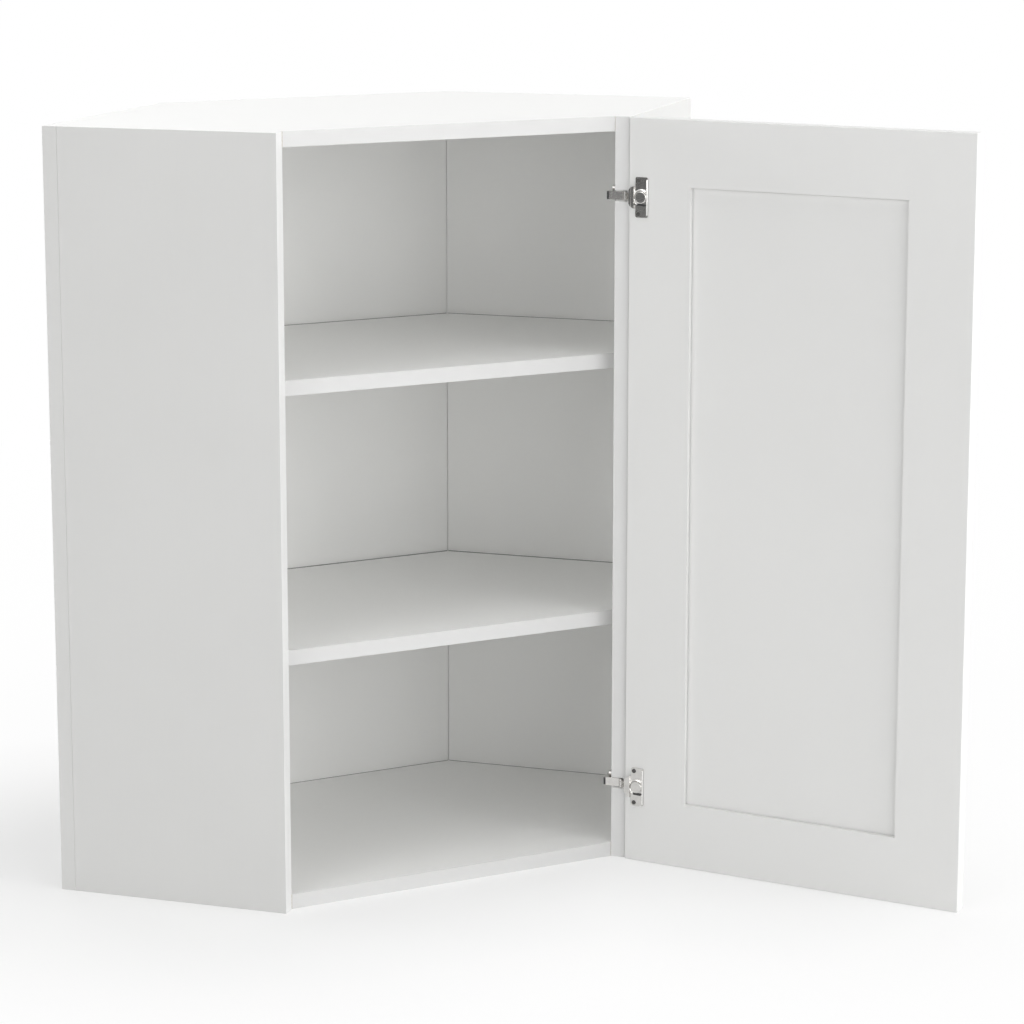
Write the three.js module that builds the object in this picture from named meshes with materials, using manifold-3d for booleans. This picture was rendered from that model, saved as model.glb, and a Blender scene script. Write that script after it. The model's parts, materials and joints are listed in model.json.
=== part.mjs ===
// Corner wall cabinet with a diagonal front: a carcass of 18 mm boards, two loose shelves
// on pins, and a frame-and-panel door on two hinges, standing open.
// Millimetres, +Z up. The diagonal front faces -Y. The origin is on the underside, midway
// between the outer rear corners of the two side panels.
import * as THREE from 'three';
import { mergeVertices } from 'three/addons/utils/BufferGeometryUtils.js';
import Module from 'manifold-3d';

const wasm = await Module();
wasm.setup();

// Carcass
const wallRun = 609.6; // length along each wall
const height = 914.4;
const board = 18; // every carcass board and shelf
const sideDepth = 288.6; // wall to front corner of a side panel, back board included
const cornerCut = 280; // the back corner is cut off at 45 degrees, this far along each wall
const jointGap = 0.3;

// Shelves and their pins
const shelfTops = { upper: 626.2, lower: 307.2 };
const shelfSetBack = 20.8;
const shelfSideGap = 1.2;
const shelfBackGap = 2;
const pinRadius = 2.5;
const pinHoleGap = 0.1;
const pinChamfer = 0.6;
const pinInBoard = 8;
const pinUnderShelf = 9;
const pinFromWall = 62; // rear pin of a side panel
const pinFromFront = 36;
const cornerPinOffset = 110; // pins in the corner board, either side of the middle

// Dowels
const dowelRadius = 4;
const dowelInSide = 10;
const dowelInPanel = 19;
const dowelFromFront = 55;
const dowelFromWall = 70;
const drillGap = 0.2;

// Door
const doorWidth = 431;
const doorThickness = 19;
const doorTrim = 0.5; // the door is this much short of the carcass at top and bottom
const doorGap = 2; // behind the closed door
const openAngle = 125.13;
const frameWidth = 79.5; // stiles and rails
const panelThickness = 6;
const grooveDepth = 9;
const grooveGap = 0.3;
const tongueShort = 0.5; // a rail's tongues end this far from the bottom of the stile's groove
const panelShort = 0.8; // and the centre panel's edges this far from the bottom of theirs

// Hinges: the pivot is given from the inner front corner of the side panel
const hingeHeights = { upper: 819.9, lower: 94.5 };
const pivotAcross = 12;
const pivotBehind = 1.5;
const knuckleRadius = 2.6;
const knuckleGap = 0.35;
const ringInner = 2.4; // the leaf's knuckle fills the middle, the arm's rings the ends
const ringOuter = 2.7;
const hingePinRadius = 1.2;
const hingePinHole = 1.27;
const hingePinProud = 0.8; // out of each end of the arm's rings
const notch = { depth: 5, halfHeight: 6.5, room: 0.6 }; // in the side panel, for the strap

// Mounting plate, on the side panel: depths run back from its front edge
const plate = {
  thickness: 2.2,
  front: 8,
  halfHeight: 7,
  footHalfDepth: 7,
  footPastScrew: 6,
  camEar: { from: 8, to: 19, low: 5, high: 12 },
  rail: { from: 18, to: 56, low: 1, high: 7.5, halfHeight: 3.4 },
};
const plateScrew = { spacing: 32, depth: 38, tip: -11, top: 4.6, headRadius: 3.3, headHeight: 2.1 };
const depthCam = { depth: 13, z: 8.3, tip: 0.5, top: 6.4, headRadius: 3, headHeight: 3.9 };
const armScrew = { depth: 47, tip: 4.8, top: 12.5, headRadius: 3.2, headHeight: 1.9 };
const adjustingScrew = { depth: 26, tip: 4.8, top: 10.2, headRadius: 2.7, headHeight: 2.2 };

// Arm: a channel over the plate's rail, with a strap in front that runs to the knuckle
const arm = { low: 3.2, high: 10.4, depth: 58, halfHeight: 5, flange: 1, web: 1.5, front: -2.9 };

// Door leaf, measured from the hinge edge of the door
const leaf = { start: 8.8, end: 24.9, halfHeight: 24, thickness: 1.2, corner: 2, lip: 2.7 };
const leafNeck = [[1.1, -3.8], [4.2, -3.1]]; // middle of the sheet, over the edge of the door
const leafHood = [[1, 4.8], [1, 8.4], [3, 11], [6, 12.8], [8.8, 13.4]]; // [x, half its height]
const leafScrew = { spacing: 40, x: 12.6, tip: 9, top: -1.7, headRadius: 2.6, headHeight: 1.5 };
const damper = { x: 16.3, radius: 6.3, capRadius: 7.2, depth: 9, capFrom: 10.7 };
const screwShank = 1.6;
const screwTip = 1.5;
const screwRoom = 0.3; // round a screw in a metal part
const recessWidth = 0.7;

const finish = (color, roughness, metalness) =>
  new THREE.MeshStandardMaterial({ color, roughness, metalness });
const finishes = {
  boards: finish(0xf1f1ef, 0.45, 0),
  door: finish(0xf3f3f1, 0.38, 0),
  dowels: finish(0xd9b98a, 0.8, 0),
  steel: finish(0xc4c4c2, 0.25, 1),
  screws: finish(0xa9a9a7, 0.35, 1),
  damper: finish(0x8c8c8a, 0.3, 0.9),
};

// ---- Solids ----

// Vertices closer than this are one.
const weldDistance = 1e-5;

function toSolid(geometry) {
  const plain = geometry.clone();
  plain.deleteAttribute('normal');
  plain.deleteAttribute('uv');
  const merged = mergeVertices(plain, weldDistance);
  return new wasm.Manifold(new wasm.Mesh({
    numProp: 3,
    vertProperties: new Float32Array(merged.attributes.position.array),
    triVerts: new Uint32Array(merged.index.array),
  }));
}

function toGeometry(solid) {
  const mesh = solid.getMesh();
  const geometry = new THREE.BufferGeometry();
  geometry.setAttribute('position', new THREE.BufferAttribute(mesh.vertProperties, 3));
  geometry.setIndex(new THREE.BufferAttribute(mesh.triVerts, 1));
  geometry.computeVertexNormals();
  return geometry;
}

const join = (geometries) =>
  toGeometry(geometries.map(toSolid).reduce((whole, next) => whole.add(next)));
const cut = (geometry, tools) =>
  toGeometry(tools.map(toSolid).reduce((rest, tool) => rest.subtract(tool), toSolid(geometry)));
const common = (a, b) => toGeometry(toSolid(a).intersect(toSolid(b)));

// An outline in plan, raised from one height to another.
function prism(outline, low, high) {
  const shape = new THREE.Shape(outline);
  const geometry = new THREE.ExtrudeGeometry(shape, { depth: high - low, bevelEnabled: false });
  return geometry.translate(0, 0, low);
}

function block([x0, x1], [y0, y1], [z0, z1]) {
  const geometry = new THREE.BoxGeometry(x1 - x0, y1 - y0, z1 - z0);
  return geometry.translate((x0 + x1) / 2, (y0 + y1) / 2, (z0 + z1) / 2);
}

// A turned piece: [radius, distance] pairs along the line from one point towards another.
function turned(profile, from, to, facets = 24) {
  const points = profile.map(([radius, along]) => new THREE.Vector2(radius, along));
  const geometry = new THREE.LatheGeometry(points, facets);
  const direction = to.clone().sub(from).normalize();
  const turn = new THREE.Quaternion().setFromUnitVectors(new THREE.Vector3(0, 1, 0), direction);
  return geometry.applyQuaternion(turn).translate(from.x, from.y, from.z);
}

function rod(from, to, radius, facets = 24) {
  const length = from.distanceTo(to);
  return turned([[0, 0], [radius, 0], [radius, length], [0, length]], from, to, facets);
}

const at = (x, y, z) => new THREE.Vector3(x, y, z);
const slim = 16; // facets of a slim rod or hole
const past = 1; // how far a cutting tool runs past the surface it opens

const cabinet = new THREE.Group();

function addPiece(name, geometry, material, group = cabinet) {
  const mesh = new THREE.Mesh(geometry, material);
  mesh.name = name;
  group.add(mesh);
}

// ---- Plan ----

// A point by its distance along the left wall and out from it, in the cabinet's frame.
const plan = (along, out) =>
  new THREE.Vector2((along + out - wallRun) / Math.SQRT2, (along - out) / Math.SQRT2);
const mirrored = (outline) => outline.map((point) => new THREE.Vector2(-point.x, point.y));
const facing = { left: 1, right: -1 };
const sides = Object.keys(facing);
const onSide = (side, outline) => (facing[side] === 1 ? outline : mirrored(outline));
const spot = (side, along, out, z) => {
  const point = plan(along, out);
  return at(facing[side] * point.x, point.y, z);
};

const frontCorner = plan(board, sideDepth); // inner front corner of the left side panel
const frontEdgeY = frontCorner.y;
const backOuter = plan(wallRun - cornerCut, 0);
const backInnerY = backOuter.y - board;
const backInner = new THREE.Vector2(backOuter.x + board * Math.tan(Math.PI / 8), backInnerY);

// Where the line of a side panel's inner face, moved in by a gap, meets a given depth.
const sideInnerX = (y, gap) => -(Math.abs(frontCorner.x) + (y - frontEdgeY)) + gap * Math.SQRT2;
const backInnerX = (y, gap) => backInner.x - (backInnerY - y) + gap * Math.SQRT2;

// The six-sided outline inside the sides and backs.
function insideOutline(frontY, sideGap, backGap) {
  const rearY = backInnerY - backGap;
  const wingY = (backGap - sideGap) / Math.SQRT2;
  const left = [
    new THREE.Vector2(sideInnerX(frontY, sideGap), frontY),
    new THREE.Vector2(sideInnerX(-wingY, sideGap), -wingY),
    new THREE.Vector2(backInnerX(rearY, backGap), rearY),
  ];
  return [...left, ...mirrored(left).reverse()];
}

// ---- Carcass ----

const dowelOuts = [dowelFromWall, sideDepth - dowelFromFront];
const dowelHeights = { top: height - board / 2, bottom: board / 2 };
const pinOuts = [pinFromWall, sideDepth - pinFromFront];
const shelfPinHeight = (top) => top - board - pinRadius - jointGap;

const dowelLine = (side, out, z) => [
  spot(side, board - dowelInSide, out, z),
  spot(side, board + dowelInPanel, out, z),
];

function dowelHoles(side, z) {
  return dowelOuts.map((out) => {
    const [from, to] = dowelLine(side, out, z);
    const reach = to.clone().sub(from).normalize().multiplyScalar(drillGap);
    return rod(from.sub(reach), to.add(reach), dowelRadius + drillGap, slim);
  });
}

const sidePinHoles = (side) =>
  Object.values(shelfTops).flatMap((top) => pinOuts.map((out) => {
    const z = shelfPinHeight(top);
    const from = spot(side, board - pinInBoard - drillGap, out, z);
    return rod(from, spot(side, board + past, out, z), pinRadius + pinHoleGap, slim);
  }));

// The hinge side's own axes: x off the panel into the cabinet, y out past its front edge.
function hingeSideGroup(z) {
  const group = new THREE.Group();
  group.position.set(-frontCorner.x, frontCorner.y, z);
  group.rotation.z = THREE.MathUtils.degToRad(135);
  group.updateMatrix();
  return group;
}

function hingeCutouts() {
  const opening = block(
    [-pivotAcross - knuckleRadius - notch.room, past],
    [-notch.depth, past],
    [-notch.halfHeight, notch.halfHeight],
  );
  const pilots = [-1, 1].map((end) => {
    const z = end * plateScrew.spacing / 2;
    const bottom = at(plateScrew.tip - past, -plateScrew.depth, z);
    return rod(bottom, at(past, -plateScrew.depth, z), screwShank + drillGap, slim);
  });
  return Object.values(hingeHeights).flatMap((z) =>
    [opening, ...pilots].map((tool) => tool.clone().applyMatrix4(hingeSideGroup(z).matrix)));
}

function addSidePanel(side) {
  const outline = [
    plan(0, board + jointGap),
    plan(board, board + jointGap),
    plan(board, sideDepth),
    plan(0, sideDepth),
  ];
  const holes = Object.values(dowelHeights).flatMap((z) => dowelHoles(side, z));
  holes.push(...sidePinHoles(side));
  if (side === 'right') holes.push(...hingeCutouts());
  const geometry = cut(prism(onSide(side, outline), 0, height), holes);
  addPiece(`${side}_side_panel`, geometry, finishes.boards);
}

function addWallBack(side) {
  const mitreGap = new THREE.Vector2(jointGap / 2, jointGap / 2);
  const outline = [
    plan(0, 0),
    plan(0, board),
    backInner.clone().sub(mitreGap),
    backOuter.clone().sub(mitreGap),
  ];
  addPiece(`${side}_wall_back_panel`, prism(onSide(side, outline), 0, height), finishes.boards);
}

function cornerPinLine(x, z) {
  return [at(x, backInnerY + pinInBoard, z), at(x, backInnerY - pinUnderShelf, z)];
}

function addCornerBack() {
  const left = [
    new THREE.Vector2(backOuter.x + jointGap / 2, backOuter.y),
    new THREE.Vector2(backInner.x + jointGap / 2, backInner.y),
  ];
  const holes = Object.values(shelfTops).flatMap((top) => [-1, 1].map((end) => {
    const z = shelfPinHeight(top);
    const [from, to] = cornerPinLine(end * cornerPinOffset, z);
    return rod(from.setY(from.y + drillGap), to, pinRadius + pinHoleGap, slim);
  }));
  const body = prism([...left, ...mirrored(left).reverse()], 0, height);
  addPiece('corner_back_panel', cut(body, holes), finishes.boards);
}

function addEndPanel(end) {
  const low = end === 'top' ? height - board : 0;
  const body = prism(insideOutline(frontEdgeY, jointGap, jointGap), low, low + board);
  const holes = sides.flatMap((side) => dowelHoles(side, dowelHeights[end]));
  addPiece(`${end}_panel`, cut(body, holes), finishes.boards);
}

function addDowels(end, side) {
  const z = dowelHeights[end];
  ['rear', 'front'].forEach((place, index) => {
    const [from, to] = dowelLine(side, dowelOuts[index], z);
    addPiece(`${end}_${side}_${place}_dowel`, rod(from, to, dowelRadius, slim), finishes.dowels);
  });
}

// ---- Shelves ----

function addShelf(name, top) {
  const outline = insideOutline(frontEdgeY + shelfSetBack, shelfSideGap, shelfBackGap);
  addPiece(`${name}_shelf`, prism(outline, top - board, top), finishes.boards);
}

function shelfPin(from, to) {
  const length = from.distanceTo(to);
  const profile = [
    [0, 0],
    [pinRadius, 0],
    [pinRadius, length - pinChamfer],
    [pinRadius - pinChamfer, length],
    [0, length],
  ];
  return turned(profile, from, to, slim);
}

function addShelfPins(name, top) {
  const z = shelfPinHeight(top);
  sides.forEach((side) => {
    ['rear', 'front'].forEach((place, index) => {
      const from = spot(side, board - pinInBoard, pinOuts[index], z);
      const to = spot(side, board + pinUnderShelf, pinOuts[index], z);
      addPiece(`${name}_shelf_${side}_${place}_pin`, shelfPin(from, to), finishes.steel);
    });
    const [from, to] = cornerPinLine(-facing[side] * cornerPinOffset, z);
    addPiece(`${name}_shelf_${side}_corner_pin`, shelfPin(from, to), finishes.steel);
  });
}

// ---- Door ----

// The door's own axes: x from its hinge edge, y out through its thickness, z up.
function makeDoorGroup() {
  const hingeSide = hingeSideGroup(0);
  const pivot = at(-pivotAcross, -pivotBehind, 0).applyMatrix4(hingeSide.matrix);
  const closedCorner = at(doorWidth / 2, frontEdgeY - doorGap, 0);
  const angle = THREE.MathUtils.degToRad(openAngle);
  const corner = closedCorner.sub(pivot).applyAxisAngle(at(0, 0, 1), angle).add(pivot);
  const group = new THREE.Group();
  group.position.copy(corner);
  group.rotation.z = angle - Math.PI;
  cabinet.add(group);
  return group;
}

const doorLow = doorTrim;
const doorHigh = height - doorTrim;
const panelFaces = [(doorThickness - panelThickness) / 2, (doorThickness + panelThickness) / 2];
const grooveFrom = panelFaces[0] - grooveGap;
const grooveTo = panelFaces[1] + grooveGap;

// The pivot in the door's axes, as it lies when the door is closed.
const pivotX = doorWidth / 2 + frontCorner.x - (pivotAcross + pivotBehind) / Math.SQRT2;
const pivotY = (pivotAcross - pivotBehind) / Math.SQRT2 - doorGap;

// A stile lying from x = 0, with its groove on the far edge.
function stileGeometry() {
  const outline = [
    [0, 0], [frameWidth, 0], [frameWidth, grooveFrom], [frameWidth - grooveDepth, grooveFrom],
    [frameWidth - grooveDepth, grooveTo], [frameWidth, grooveTo], [frameWidth, doorThickness],
    [0, doorThickness],
  ].map(([x, y]) => new THREE.Vector2(x, y));
  return prism(outline, doorLow, doorHigh);
}

function hingeBores() {
  return Object.values(hingeHeights).flatMap((z) => {
    const bottom = at(damper.x, damper.depth + grooveGap, z);
    const bore = rod(at(damper.x, -past, z), bottom, damper.radius + grooveGap);
    const pilots = [-1, 1].map((end) => {
      const screwZ = z + end * leafScrew.spacing / 2;
      const to = at(leafScrew.x, leafScrew.tip + past, screwZ);
      return rod(at(leafScrew.x, -past, screwZ), to, screwShank + drillGap, slim);
    });
    return [bore, ...pilots];
  });
}

function addStiles(door) {
  addPiece('door_hinge_stile', cut(stileGeometry(), hingeBores()), finishes.door, door);
  const free = stileGeometry().rotateZ(Math.PI).translate(doorWidth, doorThickness, 0);
  addPiece('door_free_stile', free, finishes.door, door);
}

// A rail with its groove on the side of the panel and a tongue at each end.
function addRail(door, name, low, grooveAtTop) {
  const high = low + frameWidth;
  const tongueStart = frameWidth - grooveDepth + tongueShort;
  const grooveSpan = grooveAtTop ? [high - grooveDepth, high + past] : [low - past, low + grooveDepth];
  const tongueSpan = grooveAtTop ? [low, grooveSpan[0]] : [grooveSpan[1], high];
  const ends = [frameWidth + jointGap, doorWidth - frameWidth - jointGap];
  const body = cut(block(ends, [0, doorThickness], [low, high]), [
    block([0, doorWidth], [grooveFrom, grooveTo], grooveSpan),
  ]);
  const tongues = block([tongueStart, doorWidth - tongueStart], panelFaces, tongueSpan);
  addPiece(name, join([body, tongues]), finishes.door, door);
}

function addCentrePanel(door) {
  const edge = frameWidth - grooveDepth + panelShort;
  const panel = block([edge, doorWidth - edge], panelFaces, [doorLow + edge, doorHigh - edge]);
  addPiece('door_centre_panel', panel, finishes.door, door);
}

// ---- Hinges ----

const pinSpot = (z) => at(-pivotAcross, -pivotBehind, z);

// A hole square to the side panel, from one distance off it to another.
const holeAcross = (depth, z, from, to, radius) =>
  rod(at(from, -depth, z), at(to, -depth, z), radius, slim);

function addMountingPlate(group, prefix) {
  const faces = [jointGap, plate.thickness];
  const halfScrews = plateScrew.spacing / 2;
  const foot = [-plateScrew.depth - plate.footHalfDepth, -plateScrew.depth + plate.footHalfDepth];
  const footHalfHeight = halfScrews + plate.footPastScrew;
  const { camEar, rail } = plate;
  const parts = [
    block(faces, [-arm.depth, -plate.front], [-plate.halfHeight, plate.halfHeight]),
    block(faces, foot, [-footHalfHeight, footHalfHeight]),
    block(faces, [-camEar.to, -camEar.from], [camEar.low, camEar.high]),
    block([rail.low, rail.high], [-rail.to, -rail.from], [-rail.halfHeight, rail.halfHeight]),
  ];
  const hole = screwShank + screwRoom;
  const through = [0, plate.thickness + past];
  const blind = [armScrew.tip - drillGap, rail.high + past];
  const holes = [
    holeAcross(plateScrew.depth, -halfScrews, ...through, hole),
    holeAcross(plateScrew.depth, halfScrews, ...through, hole),
    holeAcross(depthCam.depth, depthCam.z, ...through, hole),
    holeAcross(armScrew.depth, 0, ...blind, hole),
    holeAcross(adjustingScrew.depth, 0, ...blind, hole),
  ];
  addPiece(`${prefix}_mounting_plate`, cut(join(parts), holes), finishes.steel, group);
}

// A screw from its tip to the top of its head, with a cross recess.
function screw(tip, top, { headRadius, headHeight }) {
  const length = tip.distanceTo(top);
  const edge = 0.3;
  const body = turned([
    [0, 0],
    [screwShank, screwTip],
    [screwShank, length - headHeight],
    [headRadius, length - headHeight],
    [headRadius, length - edge],
    [headRadius - edge, length],
    [0, length],
  ], tip, top, 14);
  const direction = top.clone().sub(tip).normalize();
  const turn = new THREE.Quaternion().setFromUnitVectors(at(0, 0, 1), direction);
  const halfLong = headRadius * 0.575;
  const halfWide = recessWidth / 2;
  const depth = headHeight * 0.55;
  const recess = join([
    block([-halfLong, halfLong], [-halfWide, halfWide], [-depth, past]),
    block([-halfWide, halfWide], [-halfLong, halfLong], [-depth, past]),
  ]);
  recess.applyQuaternion(turn).translate(top.x, top.y, top.z);
  return cut(body, [recess]);
}

const screwAcross = (size, z) =>
  screw(at(size.tip, -size.depth, z), at(size.top, -size.depth, z), size);

function addPlateScrews(group, prefix) {
  [['bottom', -1], ['top', 1]].forEach(([place, end]) => {
    const geometry = screwAcross(plateScrew, end * plateScrew.spacing / 2);
    addPiece(`${prefix}_plate_screw_${place}`, geometry, finishes.screws, group);
  });
  addPiece(`${prefix}_depth_cam`, screwAcross(depthCam, depthCam.z), finishes.screws, group);
}

function addArm(group, prefix) {
  const { halfHeight: half, flange, web, low, high, front } = arm;
  const flangeDepths = [-arm.depth, front - 0.5];
  const parts = [
    block([high - web, high], [-arm.depth, front], [-half, half]),
    block([low, high], flangeDepths, [half - flange, half]),
    block([low, high], flangeDepths, [-half, flange - half]),
    block([-pivotAcross - 0.6, high], [front - web, front], [-half, half]),
    rod(pinSpot(-half), pinSpot(half), knuckleRadius),
  ];
  const tools = [
    rod(pinSpot(-ringOuter), pinSpot(ringOuter), knuckleRadius + knuckleGap),
    rod(pinSpot(-half - past), pinSpot(half + past), hingePinHole),
    holeAcross(armScrew.depth, 0, high - web - past, high + past, screwShank + 0.4),
    holeAcross(adjustingScrew.depth, 0, high - web - past, high + past, adjustingScrew.headRadius + 0.3),
  ];
  addPiece(`${prefix}_hinge_arm`, cut(join(parts), tools), finishes.steel, group);
}

function addArmFasteners(group, prefix) {
  addPiece(`${prefix}_arm_screw`, screwAcross(armScrew, 0), finishes.screws, group);
  addPiece(`${prefix}_adjusting_screw`, screwAcross(adjustingScrew, 0), finishes.screws, group);
  const pinEnd = arm.halfHeight + hingePinProud;
  const pin = rod(pinSpot(-pinEnd), pinSpot(pinEnd), hingePinRadius, slim);
  addPiece(`${prefix}_hinge_pin`, pin, finishes.screws, group);
}

// The door leaf in section: a neck from the knuckle over the door's edge, then the flange.
// Its points give the middle of the sheet, in the door's axes.
const flangeMiddle = -jointGap - leaf.thickness / 2;
const leafPath = [[pivotX, pivotY], ...leafNeck, [leaf.start, flangeMiddle], [leaf.end, flangeMiddle]]
  .map(([x, y]) => new THREE.Vector2(x, y));

// The outline of a sheet of one thickness that follows a path.
function sheetOutline(path, thickness) {
  const normals = path.slice(1).map((point, index) => {
    const run = point.clone().sub(path[index]).normalize();
    return new THREE.Vector2(-run.y, run.x);
  });
  const offsets = path.map((point, index) => {
    const before = normals[Math.max(index - 1, 0)];
    const after = normals[Math.min(index, normals.length - 1)];
    const middle = before.clone().add(after).normalize();
    return middle.multiplyScalar(thickness / 2 / middle.dot(before));
  });
  const one = path.map((point, index) => point.clone().add(offsets[index]));
  const other = path.map((point, index) => point.clone().sub(offsets[index]));
  return [...one, ...other.reverse()];
}

// The leaf seen square on: a narrow neck, a hood that flares like a fan, and the flange.
function leafFace(z) {
  const { start, end, halfHeight: half, corner } = leaf;
  const neck = [pivotX - knuckleRadius, leafHood[0][1]];
  const upper = [neck, ...leafHood].map(([x, y]) => new THREE.Vector2(x, y));
  const shape = new THREE.Shape(upper.map((point) => new THREE.Vector2(point.x, -point.y)));
  shape.lineTo(start, corner - half);
  shape.absarc(start + corner, corner - half, corner, Math.PI, Math.PI * 1.5);
  shape.lineTo(end - corner, -half);
  shape.absarc(end - corner, corner - half, corner, -Math.PI / 2, 0);
  shape.lineTo(end, half - corner);
  shape.absarc(end - corner, half - corner, corner, 0, Math.PI / 2);
  shape.lineTo(start + corner, half);
  shape.absarc(start + corner, half - corner, corner, Math.PI / 2, Math.PI);
  upper.reverse().forEach(({ x, y }) => shape.lineTo(x, y));
  const depth = 2 * doorThickness;
  const geometry = new THREE.ExtrudeGeometry(shape, { depth, bevelEnabled: false, curveSegments: 4 });
  return geometry.rotateX(Math.PI / 2).translate(0, depth / 2, z);
}

function addLeaf(door, prefix, z) {
  const { end, halfHeight: half, thickness, corner, lip } = leaf;
  const bent = common(prism(sheetOutline(leafPath, thickness), z - half, z + half), leafFace(z));
  const rim = block([end - thickness, end], [-lip, -1], [z - half + corner, z + half - corner]);
  const pivot = (up) => at(pivotX, pivotY, z + up);
  const knuckle = rod(pivot(-ringInner), pivot(ringInner), knuckleRadius);
  const clear = knuckleRadius + knuckleGap;
  const reach = arm.halfHeight + 2;
  const surface = [-2 * lip, past];
  const tools = [
    rod(pivot(ringInner), pivot(reach), clear),
    rod(pivot(-reach), pivot(-ringInner), clear),
    rod(pivot(-reach), pivot(reach), hingePinHole),
    rod(at(damper.x, surface[0], z), at(damper.x, surface[1], z), damper.radius + screwRoom),
    ...[-1, 1].map((side) => {
      const screwZ = z + side * leafScrew.spacing / 2;
      const hole = leafScrew.headRadius + screwRoom;
      return rod(at(leafScrew.x, surface[0], screwZ), at(leafScrew.x, surface[1], screwZ), hole, 20);
    }),
  ];
  addPiece(`${prefix}_hinge_leaf`, cut(join([bent, rim, knuckle]), tools), finishes.steel, door);
}

function addLeafScrews(door, prefix, z) {
  [['bottom', -1], ['top', 1]].forEach(([place, side]) => {
    const screwZ = z + side * leafScrew.spacing / 2;
    const tip = at(leafScrew.x, leafScrew.tip, screwZ);
    const geometry = screw(tip, at(leafScrew.x, leafScrew.top, screwZ), leafScrew);
    addPiece(`${prefix}_leaf_screw_${place}`, geometry, finishes.screws, door);
  });
}

function addDamper(door, prefix, z) {
  const { radius, capRadius, capFrom } = damper;
  const profile = [
    [0, 0],
    [radius, 0],
    [radius, capFrom],
    [capRadius, capFrom],
    [capRadius, capFrom + 1.7],
    [capRadius - 0.7, capFrom + 2.4],
    [capRadius - 2.1, capFrom + 2.9],
    [0, capFrom + 3.1],
  ];
  const bottom = at(damper.x, damper.depth, z);
  const geometry = turned(profile, bottom, at(damper.x, 0, z));
  addPiece(`${prefix}_soft_close_damper`, geometry, finishes.damper, door);
}

// ---- Assembly ----

sides.forEach(addSidePanel);
sides.forEach(addWallBack);
addCornerBack();
Object.keys(dowelHeights).forEach((end) => {
  addEndPanel(end);
  sides.forEach((side) => addDowels(end, side));
});
Object.entries(shelfTops).forEach(([name, top]) => {
  addShelf(name, top);
  addShelfPins(name, top);
});

const door = makeDoorGroup();
addStiles(door);
addRail(door, 'door_top_rail', doorHigh - frameWidth, false);
addRail(door, 'door_bottom_rail', doorLow, true);
addCentrePanel(door);

Object.entries(hingeHeights).forEach(([prefix, z]) => {
  const hingeSide = hingeSideGroup(z);
  cabinet.add(hingeSide);
  addMountingPlate(hingeSide, prefix);
  addPlateScrews(hingeSide, prefix);
  addArm(hingeSide, prefix);
  addArmFasteners(hingeSide, prefix);
  addLeaf(door, prefix, z);
  addLeafScrews(door, prefix, z);
  addDamper(door, prefix, z);
});

export default cabinet;
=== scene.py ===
import json
import math

import bmesh
import bpy
from mathutils import Matrix, Vector


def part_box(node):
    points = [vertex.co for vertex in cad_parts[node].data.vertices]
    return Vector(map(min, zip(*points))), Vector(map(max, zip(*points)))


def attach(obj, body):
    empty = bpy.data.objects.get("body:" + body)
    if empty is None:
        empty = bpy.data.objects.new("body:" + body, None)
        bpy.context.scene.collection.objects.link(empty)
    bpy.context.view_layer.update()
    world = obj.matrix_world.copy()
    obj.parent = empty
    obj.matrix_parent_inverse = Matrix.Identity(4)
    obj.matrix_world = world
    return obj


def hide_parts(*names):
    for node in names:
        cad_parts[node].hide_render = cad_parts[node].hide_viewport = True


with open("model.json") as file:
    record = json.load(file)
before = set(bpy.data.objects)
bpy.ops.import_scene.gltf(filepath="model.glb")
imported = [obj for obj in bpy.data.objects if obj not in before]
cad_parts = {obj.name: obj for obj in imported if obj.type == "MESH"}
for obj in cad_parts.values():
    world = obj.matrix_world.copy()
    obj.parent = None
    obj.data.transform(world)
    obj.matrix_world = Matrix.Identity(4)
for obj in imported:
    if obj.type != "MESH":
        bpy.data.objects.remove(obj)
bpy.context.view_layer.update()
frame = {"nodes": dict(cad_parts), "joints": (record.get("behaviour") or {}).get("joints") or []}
nodes = frame["nodes"]
mm = 0.001
quarterTurn = math.pi / 2
fullTurn = 2 * math.pi
scene = bpy.context.scene
scene.view_settings.view_transform = "Standard"


# Camera

photoCamera = {
    "place": (-1.60102, -3.44183, 1.24079),
    "turn": 0.47478,  # from +Y towards +X, in radians
    "tilt": 0.18070,  # below level
    "lens": 110.37,  # mm
    "sensorWidth": 36,  # mm
    "shift": (0.0051, -0.1),
    "sight": 60,  # metres
}


def makeCamera(look):
    lens = bpy.data.cameras.new("photo_camera")
    lens.lens = look["lens"]
    lens.sensor_width = look["sensorWidth"]
    lens.shift_x, lens.shift_y = look["shift"]
    lens.clip_end = look["sight"]
    camera = bpy.data.objects.new("photo_camera", lens)
    camera.location = look["place"]
    camera.rotation_euler = (quarterTurn - look["tilt"], 0, -look["turn"])
    scene.collection.objects.link(camera)
    scene.camera = camera


makeCamera(photoCamera)
print("camera placed")


# Shader building: a Signal is one socket, and arithmetic on it adds Math nodes

class Signal:
    def __init__(self, recipe, socket):
        self.recipe = recipe
        self.socket = socket

    def calc(self, operation, first, second):
        return self.recipe.node("Math", {"operation": operation}, {0: first, 1: second})

    def __add__(self, other):
        return self.calc("ADD", self, other)

    def __sub__(self, other):
        return self.calc("SUBTRACT", self, other)

    def __rsub__(self, other):
        return self.calc("SUBTRACT", other, self)

    def __mul__(self, other):
        return self.calc("MULTIPLY", self, other)

    def larger(self, other):
        return self.calc("MAXIMUM", self, other)

    def smaller(self, other):
        return self.calc("MINIMUM", self, other)

    __radd__ = __add__
    __rmul__ = __mul__


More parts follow.
